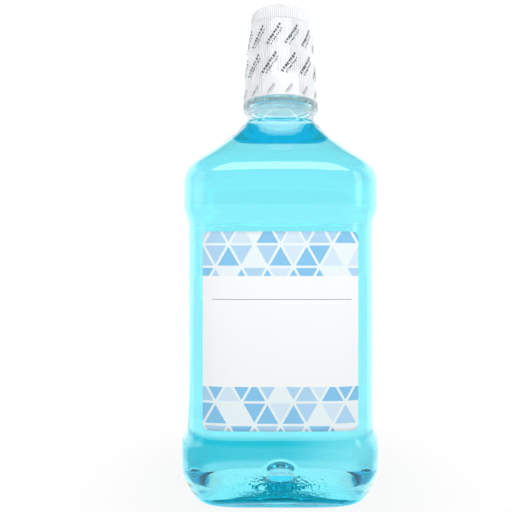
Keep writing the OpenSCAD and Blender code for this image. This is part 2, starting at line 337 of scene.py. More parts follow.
def threadHeight(z):
    # how far the helical ridge stands out round the neck, fading out at both ends
    n = neckShape
    low, high, fade = n["threadLow"], n["threadHigh"], n["threadFade"]
    pitch = n["threadLead"] / n["threadStarts"]
    s = (z - low) / pitch - n["threadStarts"] * turn / (2 * math.pi)
    off = np.abs(s - np.round(s)) * pitch
    ridge = 1 - smoothStep(off, n["threadCrest"], n["threadFoot"])
    fadeIn, fadeOut = smoothStep(z, low, low + fade), 1 - smoothStep(z, high - fade, high)
    return n["threadDepth"] * ridge * fadeIn * fadeOut


def lugged(r, z):
    # the radius grows to that of the two lugs at the sides of the neck, up to their top
    n = neckShape
    wave = np.abs((turn + math.pi / 2) % math.pi - math.pi / 2)
    half = math.radians(n["lugAngle"] / 2)
    mask = 1 - smoothStep(wave, half * (1 - n["lugFlank"]), half)
    return r + (n["lugRadius"] - r) * mask * (1 - smoothStep(z, n["lugTop"] - n["lugFade"], n["lugTop"]))


def neckRings():
    # the outside of the neck from the shoulder up, over the lip and down the bore
    n = neckShape
    base, flange, finish, bore = n["baseRadius"], n["flangeRadius"], n["finishRadius"], n["boreRadius"]
    low, top = n["flangeLow"], n["flangeLow"] + n["flangeThick"]
    bevel, lip, mouth = n["bevel"], n["lip"], n["mouth"]
    rootBore = base - n["rootWall"]
    rows = [(base, z) for z in n["rootHeights"]]
    rows += [(base + out, low + up) for out, up in n["underFlange"]]
    rows += [(flange - bevel * (1 - math.sin(t)), low + bevel * (1 - math.cos(t))) for t in quarter(7)]
    rows += [(flange - bevel * (1 - math.cos(t)), top - bevel * (1 - math.sin(t))) for t in quarter(7)]
    rows.append((n["ledgeRadius"], top))
    rows += [(lugged(finish + out, top), top + up) for out, up in n["overFlange"]]
    rows += [(lugged(finish, z), z)
             for z in np.arange(top + n["plainFrom"], n["threadLow"] - 0.2, n["plainStep"])]
    rows += [(finish + threadHeight(z), z)
             for z in np.arange(n["threadLow"], n["threadHigh"] + 0.1, n["threadStep"])]
    rows.append((finish, n["finishTop"]))
    rows += [(finish - lip * (1 - math.cos(t)), mouth - lip * (1 - math.sin(t))) for t in quarter(6)]
    rows += [(bore + lip * (1 - math.sin(t)), mouth - lip * (1 - math.cos(t))) for t in quarter(6)]
    rows += [(bore, z) for z in n["boreHeights"]]
    rows += [(mix(bore, rootBore, smoothStep(t, 0, 1)), mix(n["widenFrom"], low - 1, t))
             for t in np.linspace(0, 1, 10)]
    rows += [(rootBore, z) for z in n["rootBoreHeights"]]
    return [turnedRing(r, turn, z) for r, z in rows]


# fine dimples under the base, which fade out towards the foot and the dome
stipple = {"cells": 620, "depth": 0.0005, "strength": 0.8, "top": 12.5, "fade": (0.1, 0.35),
           "domeFade": 2}


def stippleNormal(tree, normal=None):
    cells = addNode(tree, "ShaderNodeTexVoronoi", {"Vector": objectPlace(tree),
                    "Scale": stipple["cells"]}, feature="SMOOTH_F1")
    share = addNode(tree, "ShaderNodeAttribute", attribute_name="stippleShare")
    height = calc(tree, "MULTIPLY", cells.outputs["Distance"], share.outputs["Fac"])
    return bumpNormal(tree, height, stipple["strength"], stipple["depth"], normal)


def markStipple(piece):
    # the share of the stipple at each point, for stippleNormal
    s = bodyShape
    x, y, z = np.array([v.co for v in piece.data.vertices]).T / mm
    a, b = footHalves()
    within = (np.abs(x) / a) ** s["squareness"] + (np.abs(y) / b) ** s["squareness"]
    share = (1 - smoothStep(within, *stipple["fade"])) * (z < stipple["top"])
    share = share * smoothStep(np.hypot(x, y), s["domeRadius"], s["domeRadius"] + stipple["domeFade"])
    pointValues(piece, "stippleShare", share.tolist())


def lightPasses(tree):
    # 1 for the rays that carry lamp and room light to a surface behind a clear wall
    path = addNode(tree, "ShaderNodeLightPath")
    return calc(tree, "ADD", path.outputs["Is Shadow Ray"], path.outputs["Is Diffuse Ray"], clamp=True)


def letLightIn(tree, surface, output, colour, share=1.0):
    # what lies behind the surface is lit through it
    clear = addNode(tree, "ShaderNodeBsdfTransparent", {"Color": colour})
    both = joinShaders(tree, calc(tree, "MULTIPLY", lightPasses(tree), share), surface, clear)
    tree.links.new(both.outputs[0], output.inputs["Surface"])


clearPlastic = {
    "tint": (0.93, 0.985, 1, 1), "thickTint": (0.7, 0.965, 1, 1), "lightColour": (0.985, 0.995, 1, 1),
    "thickFrom": 217.5, "thickTo": 220.5, "ior": 1.575,
    "waves": 26, "waveStrength": 0.35, "waveDepth": 0.0007,
}


def makeClearPlastic():
    material, tree, shader, output = newMaterial("clearPlastic")
    p = clearPlastic
    place = objectPlace(tree)
    wave = addNode(tree, "ShaderNodeTexNoise", {"Vector": place, "Scale": p["waves"], "Detail": 1.5,
                                                "Roughness": 0.4})
    bump = bumpNormal(tree, wave.outputs["Fac"], p["waveStrength"], p["waveDepth"])
    # the neck is not blown thin, so it shows more of the plastic's tint
    thick = evenRamp(tree, splitXyz(tree, place)["Z"], p["thickFrom"] * mm, p["thickTo"] * mm)
    feed(tree, shader, {"Base Color": blend(tree, "RGBA", thick, p["tint"], p["thickTint"]),
                        "Roughness": 0, "IOR": p["ior"], "Transmission Weight": 1,
                        "Normal": stippleNormal(tree, bump)})
    letLightIn(tree, shader, output, p["lightColour"])
    return material


# absorption per metre in red, green and blue
mouthwash = {"ior": 1.36, "absorb": (16, 1.4, 0.6), "density": 20}


def makeMouthwash():
    material, tree, shader, output = newMaterial("mouthwash")
    p = mouthwash
    feed(tree, shader, {"Base Color": white, "Roughness": 0, "IOR": p["ior"], "Transmission Weight": 1,
                        "Normal": stippleNormal(tree)})
    colour = [1 - a / p["density"] for a in p["absorb"]] + [1]
    volume = addNode(tree, "ShaderNodeVolumeAbsorption", {"Color": colour, "Density": p["density"]})
    tree.links.new(volume.outputs[0], output.inputs["Volume"])
    letLightIn(tree, shader, output, white)
    return material


# white polypropylene, thin enough to glow a little with light behind it
capPlastic = {
    # the groove colour is painted shade for the grooves between the flutes
    "colour": (0.975, 0.98, 0.985, 1), "grooveShadeColour": (0.77, 0.785, 0.8, 1),
    "glowColour": (0.9, 0.93, 0.94, 1), "glow": 0.05, "lightIn": 0.92, "roughness": 0.38, "ior": 1.49,
    "scatter": 0.12, "scatterDepth": 0.0015, "grain": 900, "grainStrength": 0.12, "grainDepth": 0.0001,
}


def makeCapPlastic():
    material, tree, shader, output = newMaterial("capPlastic")
    p = capPlastic
    # painted shade: the grooves are coloured darker, standing in for the shade that falls in them
    groove = addNode(tree, "ShaderNodeAttribute", attribute_name="grooveShare")
    tone = colourStops(tree, groove.outputs["Fac"], [(0, p["colour"]), (1, p["grooveShadeColour"])])
    grain = addNode(tree, "ShaderNodeTexNoise", {"Vector": objectPlace(tree), "Scale": p["grain"],
                                                 "Detail": 2})
    bump = bumpNormal(tree, grain.outputs["Fac"], p["grainStrength"], p["grainDepth"])
    feed(tree, shader, {"Base Color": tone, "Roughness": p["roughness"], "IOR": p["ior"],
                        "Subsurface Weight": p["scatter"], "Subsurface Radius": (1, 1, 1),
                        "Subsurface Scale": p["scatterDepth"], "Normal": bump})
    through = addNode(tree, "ShaderNodeBsdfTranslucent", {"Color": p["glowColour"]})
    letLightIn(tree, joinShaders(tree, p["glow"], shader, through), output, white, p["lightIn"])
    return material


sealFoam = {"colour": (0.86, 0.88, 0.9, 1), "roughness": 0.6, "cells": 2500, "strength": 0.3,
            "depth": 0.0001}


def makeSealFoam():
    material, tree, shader, _ = newMaterial("sealFoam")
    p = sealFoam
    cells = addNode(tree, "ShaderNodeTexVoronoi", {"Vector": objectPlace(tree), "Scale": p["cells"]})
    bump = bumpNormal(tree, cells.outputs["Distance"], p["strength"], p["depth"])
    feed(tree, shader, {"Base Color": p["colour"], "Roughness": p["roughness"], "Normal": bump})
    return material


# the film creases more where it is drawn in under the cap, between the two heights
shrinkFilm = {
    "colour": (0.97, 0.98, 1, 1), "roughness": 0.03, "ior": 1.5, "sheenColour": (0.97, 0.985, 1, 1),
    "sheenRoughness": 0.04, "sheen": 0.8, "clearColour": (0.995, 0.998, 1, 1),
    "edgePower": 4.5, "edgeShare": 0.8, "faceShare": 0.03,
    "creases": 140, "creaseStretch": 0.35, "creaseStrength": 0.5,
    "creaseHeights": (0.2235, 0.2275), "creaseDepths": (0.0022, 0.0006),
}


def makeShrinkFilm():
    material, tree, shader, output = newMaterial("shrinkFilm")
    p = shrinkFilm
    place = objectPlace(tree)
    stretched = addNode(tree, "ShaderNodeMapping", {"Vector": place,
                                                    "Scale": (1, 1, p["creaseStretch"])})
    crease = addNode(tree, "ShaderNodeTexNoise", {"Vector": stretched.outputs[0], "Scale": p["creases"],
                                                  "Detail": 3, "Roughness": 0.55, "Distortion": 0.6})
    depth = evenRamp(tree, splitXyz(tree, place)["Z"], *p["creaseHeights"], *p["creaseDepths"])
    bump = bumpNormal(tree, crease.outputs["Fac"], p["creaseStrength"], depth)
    feed(tree, shader, {"Base Color": p["colour"], "Roughness": p["roughness"], "IOR": p["ior"],
                        "Transmission Weight": 1, "Normal": bump})
    clear = addNode(tree, "ShaderNodeBsdfTransparent", {"Color": p["clearColour"]})
    mirror = addNode(tree, "ShaderNodeBsdfAnisotropic", {"Color": p["sheenColour"],
                     "Roughness": p["sheenRoughness"], "Normal": bump})
    gloss = joinShaders(tree, p["sheen"], shader, mirror)
    # it is clear where it faces the eye and shines at its edges
    edge = addNode(tree, "ShaderNodeLayerWeight", {"Blend": 0.5, "Normal": bump})
    amount = calc(tree, "MULTIPLY_ADD", calc(tree, "POWER", edge.outputs["Facing"], p["edgePower"]),
                  p["edgeShare"], p["faceShare"], clamp=True)
    amount = calc(tree, "MULTIPLY", amount, calc(tree, "SUBTRACT", 1.0, lightPasses(tree)))
    tree.links.new(joinShaders(tree, amount, clear, gloss).outputs[0], output.inputs["Surface"])
    return material


# thin print: the cover is uneven and shows paler in places
filmInk = {"dark": (0.02, 0.022, 0.025, 1), "thin": (0.2, 0.21, 0.22, 1), "cover": (0.35, 0.72),
           "grain": 2600, "roughness": 0.35}


def makeFilmInk():
    material, tree, shader, _ = newMaterial("filmInk")
    p = filmInk
    cover = addNode(tree, "ShaderNodeTexNoise", {"Vector": objectPlace(tree), "Scale": p["grain"],
                                                 "Detail": 2.5})
    tone = colourStops(tree, cover.outputs["Fac"], list(zip(p["cover"], (p["dark"], p["thin"]))))
    feed(tree, shader, {"Base Color": tone, "Roughness": p["roughness"]})
    return material


labelPrint = {
    "cell": 13.5, "gap": 0.055, "patternLow": 66.4, "patternHigh": 123.9, "seed": 4.0, "roughness": 0.5,
    "rule": 111.7, "ruleLeft": -35.4, "ruleRight": 37.0, "ruleHalf": 0.2, "grey": (0.35, 0.4, 0.44, 1),
    "white": (0.95, 0.96, 0.97, 1), "ground": (0.85, 0.93, 0.96, 1), "pale": (0.69, 0.83, 0.94, 1),
    "sky": (0.45, 0.69, 0.90, 1), "blue": (0.25, 0.58, 0.86, 1),
    "stops": [(0, "blue"), (0.3, "sky"), (0.6, "pale"), (0.84, "ground")],
}


def makeLabelPrint():
    # a mosaic of triangles in three blues at the top and the bottom, plain between and on the back
    material, tree, shader, _ = newMaterial("labelPrint")
    p = labelPrint
    place = addNode(tree, "ShaderNodeTexCoord").outputs
    x, _, z = splitXyz(tree, place["Object"])
    # slanted cells, each cut in two by its diagonal
    cellX, cellZ = [calc(tree, "DIVIDE", value, p["cell"] * mm) for value in (x, z)]
    row = calc(tree, "MULTIPLY", cellZ, 2 / math.sqrt(3))
    column = calc(tree, "SUBTRACT", cellX, calc(tree, "MULTIPLY", row, 0.5))
    across, up = [calc(tree, "FRACT", value) for value in (column, row)]
    total = calc(tree, "ADD", across, up)
    upper = calc(tree, "GREATER_THAN", total, 1.0)
    # distance to the nearest edge of the triangle, so that a pale joint runs between them
    low = calc(tree, "MINIMUM", across, up)
    high = calc(tree, "SUBTRACT", 1.0, calc(tree, "MAXIMUM", across, up))
    diagonal = calc(tree, "ABSOLUTE", calc(tree, "SUBTRACT", 1.0, total))
    edge = calc(tree, "MINIMUM", blend(tree, "FLOAT", upper, low, high), diagonal)
    inCell = calc(tree, "GREATER_THAN", edge, p["gap"])
    key = joinXyz(tree, calc(tree, "FLOOR", column), calc(tree, "FLOOR", row),
                  calc(tree, "ADD", upper, p["seed"]))
    pick = addNode(tree, "ShaderNodeTexWhiteNoise", {"Vector": key}, noise_dimensions="3D")
    stops = [(at, p[tone]) for at, tone in p["stops"]]
    tones = colourStops(tree, pick.outputs["Value"], stops, "CONSTANT")
    inBand = calc(tree, "ADD", calc(tree, "GREATER_THAN", z, p["patternHigh"] * mm),
                  calc(tree, "LESS_THAN", z, p["patternLow"] * mm), clamp=True)
    frontFace = calc(tree, "LESS_THAN", splitXyz(tree, place["Normal"])["Y"], 0.0)
    printed = calc(tree, "MULTIPLY", inBand, frontFace)
    paper = blend(tree, "RGBA", printed, p["white"], p["ground"])
    mosaic = blend(tree, "RGBA", calc(tree, "MULTIPLY", inCell, printed), paper, tones)
    # a thin grey rule under the upper pattern
    offRule = calc(tree, "ABSOLUTE", calc(tree, "SUBTRACT", z, p["rule"] * mm))
    onRule = product(tree, calc(tree, "LESS_THAN", offRule, p["ruleHalf"] * mm),
                     calc(tree, "GREATER_THAN", x, p["ruleLeft"] * mm),
                     calc(tree, "LESS_THAN", x, p["ruleRight"] * mm), frontFace)
    feed(tree, shader, {"Base Color": blend(tree, "RGBA", onRule, mosaic, p["grey"]),
                        "Roughness": p["roughness"]})
    return material


materials = {
    "plastic": makeClearPlastic(), "liquid": makeMouthwash(), "cap": makeCapPlastic(),
    "seal": makeSealFoam(), "film": makeShrinkFilm(), "ink": makeFilmInk(), "label": makeLabelPrint(),
}
print("materials:", len(materials))

# the bottle is one closed skin: up the inside, over the neck and down the outside
shellRings = (underRings(bodyShape["wall"])[::-1] + sideRings(bodyShape["wall"], bodyShape["innerTop"])
              + neckRings()[::-1] + sideRings(0, bodyShape["outerTop"])[::-1] + underRings(0))
verts, faces = ringStack(shellRings)
bottleShell = addPiece("bottleShell", verts, faces, materials["plastic"])
markStipple(bottleShell)
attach(bottleShell, "bottle")
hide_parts("bottle")
print("bottle:", len(faces), "faces")

liquidShape = {"level": 211.0, "gap": 0.06, "meniscusRise": 1.1, "meniscusWidth": 3.0,
               "meniscusRings": 11, "meniscusBend": 2.4, "surfaceShares": (0.75, 0.5, 0.25, 0.08)}


def liquidRings():
    # up the body to a surface that climbs a little at the wall
    s = liquidShape
    inset = bodyShape["wall"] + s["gap"]
    a, b, power = bodySection(s["level"] + s["meniscusRise"])
    top = []
    for t in np.linspace(0, 1, s["meniscusRings"]):
        back = inset + s["meniscusWidth"] * t
        climb = s["meniscusRise"] * (1 - t) ** s["meniscusBend"]
        top.append(ovalRing(a - back, b - back, power, s["level"] + climb))
    top += [ovalRing((a - back) * t, (b - back) * t, mix(2, power, t), s["level"])
            for t in s["surfaceShares"]]
    return top[::-1] + sideRings(inset, s["level"])[::-1] + underRings(inset)


verts, faces = ringStack(liquidRings())
mouthwashBody = addPiece("mouthwashBody", verts, faces, materials["liquid"])
markStipple(mouthwashBody)
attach(mouthwashBody, "bottle")
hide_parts("mouthwash_fill")
print("mouthwash:", len(faces), "faces")

capShape = {
    "rim": 224.0, "height": 53.0, "rimRadius": 22.5, "topRadius": 17.5, "edge": 1.7, "crown": 0.12,
    "flutes": 96, "fluteDepth": 0.35, "fluteSharpness": 1.3, "columns": 768,
    "padHeight": 13.7, "padAngle": 29, "padFade": 0.02, "padTopFade": 0.4,
    "bore": 19.1, "threadFrom": 230.8, "threadTo": 244.6, "threadStep": 0.3,
    "threadBeyond": 1.2, "threadDepth": 0.95, "ledge": 246.0,
    "cupRadius": 17.0, "cupFloorRadius": 16.1, "cupFloor": 275.7, "cupEdge": 1.2, "cupEdgeRadius": 16.12,
    # the dose line is a shallow groove; the plain cup has rings at the other heights
    "doseLine": 252.0, "doseDepth": 0.16, "doseHalf": 0.25, "doseReach": 0.45,
    "cupLowRing": 248, "cupHighRings": (258, 264, 270, 274),
    # radii of the rings on the flat top and on the cup's floor
    "topRings": (0.6, 4, 8, 12, 14, 15.2), "floorRings": (13, 9, 4, 0.6),
    # the outside's rings: how far below the rounded edge, heights on the wall, and the
    # heights where the flutes run out
    "belowEdge": (0.3, 0.7, 1.1, 1.5),
    "wallHeights": (268, 262, 256, 250, 245, 241, 239.2, 238.6, 238.2, 237.8, 237.4, 237, 236.4,
                    235.6, 233, 230, 227, 225.8),
    "fluteEnd": ((225.4, 0.8), (225.1, 0.3), (224.9, 0), (224.5, 0)),
    # radius and height of the inside's rings: round the rim, up the skirt, down the inner
    # skirt and round its end
    "skirt": [(22.44, 224.15), (22.3, 224.03), (22.1, 224.0), (21.3, 224.0), (21.12, 224.06),
              (21.05, 224.25), (20.75, 228), (20.35, 232), (20.15, 234.2), (20.06, 234.8),
              (20.01, 234.6), (20.0, 233), (20.0, 230.4), (19.93, 230.25), (19.8, 230.2),
              (19.3, 230.2), (19.16, 230.26), (19.1, 230.4)],
    "seat": [(19.1, 245.6), (19.05, 245.9), (18.9, 246.0), (17.2, 246.0), (17.05, 246.08),
             (16.98, 246.3)],
}


def capOutRadius(z):
    c = capShape
    return mix(c["rimRadius"], c["topRadius"], (z - c["rim"]) / c["height"])


def capProfile():
    # radius, height, share of the flutes and share of the thread, from the middle of the top
    # out, down round the rim, and up inside to the middle of the cup's floor
    c = capShape
    top = c["rim"] + c["height"]
    edgeZ = top - c["edge"]
    flat = c["topRadius"] - c["edge"]
    rows = [(r, top - c["crown"] * (1 - (r / flat) ** 2), 0, 0) for r in c["topRings"]]
    rows += [(capOutRadius(edgeZ) - c["edge"] * (1 - math.sin(t)), edgeZ + c["edge"] * math.cos(t),
              math.sin(t), 0) for t in quarter(8)]
    wall = [(edgeZ - drop, 1) for drop in c["belowEdge"]] + [(z, 1) for z in c["wallHeights"]]
    rows += [(capOutRadius(z), z, share, 0) for z, share in wall + list(c["fluteEnd"])]
    rows += [(r, z, 0, 0) for r, z in c["skirt"]]
    rows += [(c["bore"], z, 0, 1) for z in np.arange(c["threadFrom"], c["threadTo"], c["threadStep"])]
    rows += [(r, z, 0, 0) for r, z in c["seat"]]
    line, bite, half, reach = c["doseLine"], c["doseDepth"], c["doseHalf"], c["doseReach"]
    cup = [(c["cupLowRing"], 0), (line - reach, 0), (line - half, bite), (line + half, bite),
           (line + reach, 0)] + [(z, 0) for z in c["cupHighRings"]]
    for z, cut in cup:
        share = (z - c["ledge"]) / (c["cupFloor"] - c["ledge"])
        rows.append((mix(c["cupRadius"], c["cupFloorRadius"], share) - cut, z, 0, 0))
    edge, edgeLow = c["cupEdge"], c["cupFloor"] - c["cupEdge"]
    rows += [(c["cupEdgeRadius"] - edge * (1 - math.cos(t)), edgeLow + edge * math.sin(t), 0, 0)
             for t in quarter(6)]
    rows += [(r, c["cupFloor"], 0, 0) for r in c["floorRings"]]
    return rows


def capMesh():
    angles = evenAngles(capShape["columns"])
    rows = capProfile()
    verts, faces = ringStack([turnedRing(r, angles, z) for r, z, _, _ in rows])
    piece = addPiece("capBody", verts, faces, materials["cap"])
    for index, name in ((2, "fluteShare"), (3, "threadShare")):
        share = np.repeat([row[index] for row in rows], len(angles)).tolist() + [0, 0]
        pointValues(piece, name, share)
    return piece


def nodeGroup(name, sizes):
    # a Geometry Nodes tree with a mesh in and out and a named input for each size
    tree = bpy.data.node_groups.new(name, "GeometryNodeTree")
    tree.interface.new_socket(name="Geometry", in_out="INPUT", socket_type="NodeSocketGeometry")
    kinds = {int: "NodeSocketInt", float: "NodeSocketFloat", bpy.types.Material: "NodeSocketMaterial"}
    for key, value in sizes.items():
        tree.interface.new_socket(name=key, in_out="INPUT", socket_type=kinds[type(value)])
    tree.interface.new_socket(name="Geometry", in_out="OUTPUT", socket_type="NodeSocketGeometry")
    return tree, tree.nodes.new("NodeGroupInput"), tree.nodes.new("NodeGroupOutput")


def bakeNodes(piece, tree, sizes):
    # sets the named inputs, runs the tree on the piece and keeps the result as its plain mesh
    modifier = piece.modifiers.new(tree.name, "NODES")
    modifier.node_group = tree
    for socket in tree.interface.items_tree:
        if socket.in_out == "INPUT" and socket.name in sizes:
            modifier[socket.identifier] = sizes[socket.name]
    bpy.context.view_layer.update()
    seen = piece.evaluated_get(bpy.context.evaluated_depsgraph_get())
    result = bpy.data.meshes.new_from_object(seen)
    piece.modifiers.clear()
    old = piece.data
    piece.data = result
    bpy.data.meshes.remove(old)
    return piece


capSizes = {
    "Flutes": capShape["flutes"], "Flute depth": capShape["fluteDepth"] * mm,
    "Pad half angle": math.radians(capShape["padAngle"]),
    "Pad top": (capShape["rim"] + capShape["padHeight"]) * mm,
    "Thread lead": neckShape["threadLead"] * mm, "Thread starts": neckShape["threadStarts"],
    "Thread low": neckShape["threadLow"] * mm,
    "Thread high": (neckShape["threadHigh"] + capShape["threadBeyond"]) * mm,
    "Thread depth": capShape["threadDepth"] * mm, "Finish": materials["cap"],
}


def capRules():
    tree, source, sink = nodeGroup("capFlutesAndThread", capSizes)
    size = source.outputs
    x, y, z = splitXyz(tree, addNode(tree, "GeometryNodeInputPosition").outputs[0])
    angle = calc(tree, "ARCTAN2", y, x)
    fluteShare, threadShare = [
        addNode(tree, "GeometryNodeInputNamedAttribute", {"Name": name}, data_type="FLOAT").outputs[0]
        for name in ("fluteShare", "threadShare")]
    # the flutes are a raised cosine round the cap, left out on the two pads
    wave = calc(tree, "COSINE", calc(tree, "MULTIPLY", angle, size["Flutes"]))
    groove = calc(tree, "POWER", calc(tree, "MULTIPLY_ADD", wave, 0.5, 0.5), capShape["fluteSharpness"])
    fromFront = calc(tree, "ARCTAN2", calc(tree, "ABSOLUTE", x), calc(tree, "ABSOLUTE", y))
    beside, above = [
        softRamp(tree, value, calc(tree, "SUBTRACT", edge, fade), calc(tree, "ADD", edge, fade))
        for value, edge, fade in ((fromFront, size["Pad half angle"], capShape["padFade"]),
                                  (z, size["Pad top"], capShape["padTopFade"] * mm))]
    grooveShare = product(tree, groove, calc(tree, "MAXIMUM", beside, above), fluteShare)
    cut = calc(tree, "MULTIPLY", grooveShare, size["Flute depth"])
    # the thread in the skirt runs half a pitch from the one on the neck
    pitch = calc(tree, "DIVIDE", size["Thread lead"], size["Thread starts"])
    climb = calc(tree, "DIVIDE", calc(tree, "SUBTRACT", z, size["Thread low"]), pitch)
    wind = calc(tree, "MULTIPLY", calc(tree, "DIVIDE", angle, 2 * math.pi), size["Thread starts"])
    s = calc(tree, "ADD", calc(tree, "SUBTRACT", climb, wind), 0.5)
    off = calc(tree, "ABSOLUTE", calc(tree, "SUBTRACT", s, calc(tree, "ROUND", s)))
    off = calc(tree, "MULTIPLY", off, pitch)
    ridge = softRamp(tree, off, neckShape["threadCrest"] * mm, neckShape["threadFoot"] * mm, 1.0, 0.0)
    low, high, fade = size["Thread low"], size["Thread high"], neckShape["threadFade"] * mm
    fadeIn = softRamp(tree, z, low, calc(tree, "ADD", low, fade))
    fadeOut = softRamp(tree, z, calc(tree, "SUBTRACT", high, fade), high, 1.0, 0.0)
    raised = product(tree, ridge, fadeIn, fadeOut, threadShare, size["Thread depth"])
    inward = calc(tree, "MULTIPLY", calc(tree, "ADD", cut, raised), -1.0)
    outDirection = joinXyz(tree, calc(tree, "COSINE", angle), calc(tree, "SINE", angle), 0.0)
    shift = addNode(tree, "ShaderNodeVectorMath", {0: outDirection, "Scale": inward}, operation="SCALE")
    # the groove share is kept on the points for the cap's material, which paints shade into the grooves
    # with it
    marked = addNode(tree, "GeometryNodeStoreNamedAttribute", {"Geometry": source.outputs["Geometry"],
                     "Name": "grooveShare", "Value": grooveShare}, data_type="FLOAT", domain="POINT")
    moved = addNode(tree, "GeometryNodeSetPosition", {"Geometry": marked.outputs[0],
                                                      "Offset": shift.outputs[0]})
    real = addNode(tree, "GeometryNodeRealizeInstances", {0: moved.outputs[0]})
    finish = addNode(tree, "GeometryNodeSetMaterial", {"Geometry": real.outputs[0],
                                                       "Material": size["Finish"]})
    tree.links.new(finish.outputs[0], sink.inputs[0])
    return tree


capBody = bakeNodes(capMesh(), capRules(), capSizes)
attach(capBody, "cap")
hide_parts("cap")

# the two lugs inside the rim that catch behind those of the neck
capLugShape = {"inner": 19.7, "outLow": 21.35, "outHigh": 21.05, "low": 224.35, "high": 228.25,
               "bevel": 0.2, "angle": 16, "endTurn": 0.6, "places": (32, 212)}


def capLugMesh():
    c = capLugShape
    bevel, half = c["bevel"], c["angle"] / 2
    verts, faces = [], []
    for place in c["places"]:
        rings = []
        for side in (half, half - c["endTurn"], half / 2, 0, -half / 2, c["endTurn"] - half, -half):
            inner = c["inner"] + (bevel if abs(side) == half else 0)
            around = math.radians(place + side)
            section = ((c["outLow"], c["low"]), (inner + bevel, c["low"]), (inner, c["low"] + bevel),
                       (inner, c["high"] - bevel), (inner + bevel, c["high"]), (c["outHigh"], c["high"]))
            rings.append([(r * math.cos(around), r * math.sin(around), z) for r, z in section])
        lugVerts, lugFaces = ringStack(rings)
        faces += [[v + len(verts) for v in face] for face in lugFaces]
        verts += lugVerts.tolist()
    return addPiece("capLugs", verts, faces, materials["cap"], smooth=False)


capLugs = capLugMesh()
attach(capLugs, "cap")
print("cap:", len(capBody.data.polygons) + len(capLugs.data.polygons), "faces")

sealShape = {"inner": 16.4, "outer": 18.8, "low": 245.0, "high": 246.0, "edge": 0.2, "columns": 128}


def sealRings():
    # round the four rounded corners of the section, from the upper outer one down
    s = sealShape
    edge = s["edge"]
    outer, inner, low, high = s["outer"] - edge, s["inner"] + edge, s["low"] + edge, s["high"] - edge
    angles = evenAngles(s["columns"])
    rings = []
    for r, z, start in ((outer, high, 90), (outer, low, 0), (inner, low, -90), (inner, high, -180)):
        for t in np.radians([start, start - 30, start - 60, start - 90]):
            rings.append(turnedRing(r + edge * math.cos(t), angles, z + edge * math.sin(t)))
    return rings


sealRing = addPiece("sealRing", *loopStack(sealRings()), materials["seal"])
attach(sealRing, "seal")
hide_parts("cap_seal_ring")

bandShape = {
    "thick": 0.2, "columns": 240, "seed": 7, "waves": 7, "deepestWave": 1.6,
    "sleeveRings": 46, "sleeveWrinkle": 0.12, "collarRings": 22, "collarWrinkle": 0.06,
    # radius and height of the outside of the film
    "sleeve": [(23.0, 224.0), (22.905, 225.0), (22.434, 230.0), (21.962, 235.0), (21.491, 240.0),
               (20.547, 250.0), (19.604, 260.0), (18.736, 269.2)],
    "collar": [(20.2, 217.0), (21.5, 218.3), (22.48, 219.52), (22.85, 220.2), (23.02, 220.6),
               (23.2, 222.1), (23.15, 223.0), (23.0, 223.7)],
}


def filmPiece(name, part):
    # a tube of film with shallow wrinkles that only sink in
    s = bandShape
    angles = evenAngles(s["columns"])
    heights = [z for _, z in s[part]]
    zs = np.linspace(heights[0], heights[-1], s[part + "Rings"])
    radii = softCurve(heights, [r for r, _ in s[part]], zs)
    rng = np.random.default_rng(s["seed"])
    # how often each wave goes round, where it starts, how it leans and how deep it is
    waves = [(rng.integers(5, 19), rng.uniform(0, 6.28), rng.uniform(0.05, 0.4), rng.uniform(0.3, 1))
             for _ in range(s["waves"])]
    # only where the waves meet do they show
    outer, inner = [], []
    deepest = s["deepestWave"]
    for z, r in zip(zs, radii):
        sink = sum(k * np.sin(n * angles + p + f * (z - heights[0])) for n, p, f, k in waves)
        sink = s[part + "Wrinkle"] * (sink / 4 - 1).clip(-deepest, 0) / deepest
        outer.append(turnedRing(r + sink, angles, z))
        inner.append(turnedRing(r + sink - s["thick"], angles, z))
    return addPiece(name, *loopStack(outer[::-1] + inner), materials["film"])


sleeveFilm = filmPiece("sleeveFilm", "sleeve")
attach(sleeveFilm, "sleeve")
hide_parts("band_sleeve")
collarFilm = filmPiece("collarFilm", "collar")
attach(collarFilm, "bottle")
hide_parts("band_collar")

markShape = {
    # two rows of short strokes: first start, pitch, length, low edge, high edge and count
    "rows": [(-5.0, 1.3, 0.85, 0.2, 1.4, 8), (-4.2, 1.1, 0.6, -1.35, -0.55, 8)],
    "thick": 0.03, "shortest": 0.7, "longer": 0.5, "lift": 0.4,
    # the faces of one stroke: a back and a front of two quads each, and the six quads round them
    "faces": [[0, 3, 4, 1], [1, 4, 5, 2], [6, 7, 10, 9], [7, 8, 11, 10], [0, 1, 7, 6], [1, 2, 8, 7],
              [3, 9, 10, 4], [4, 10, 11, 5], [0, 6, 9, 3], [2, 5, 11, 8]],
}
sleeveMarks = {
    "Marks round": 12, "Rows": 2, "First row": 242.0 * mm, "Row step": 16.6 * mm,
    "Slant": math.radians(52), "Stagger": 0.2, "Scale": 1.4,
    "Wall height": 224.0 * mm, "Wall radius": 23.0 * mm, "Wall slope": 0.09434, "Wall curve": 0.0,
    "Lift": 0.01 * mm, "Ink": materials["ink"],
}
rimMarks = dict(sleeveMarks, **{"Rows": 1, "First row": 227.4 * mm, "Scale": 0.62, "Marks round": 14})
collarMarks = dict(rimMarks, **{"First row": 221.5 * mm, "Scale": 0.36, "Wall height": 222.1 * mm,
                                "Wall radius": 23.2 * mm, "Wall slope": 0.0, "Wall curve": 97.0})


def markMesh(name):
    # one mark laid flat: x along the print, z across it, y its thickness outwards
    m = markShape
    verts, faces = [], []
    for start, pitch, length, lowEdge, over, count in m["rows"]:
        for k in range(count):
            left = start + k * pitch
            right = left + length * (m["shortest"] + m["longer"] * (k * 7 % 5) / 4)
            under = lowEdge + m["lift"] * (k * 5 % 3) / 2
            n = len(verts)
            verts += [(x, y, z) for y in (0, -m["thick"]) for z in (under, over)
                      for x in (left, (left + right) / 2, right)]
            faces += [[n + i for i in face] for face in m["faces"]]
    return addPiece(name, verts, faces, None, smooth=False)


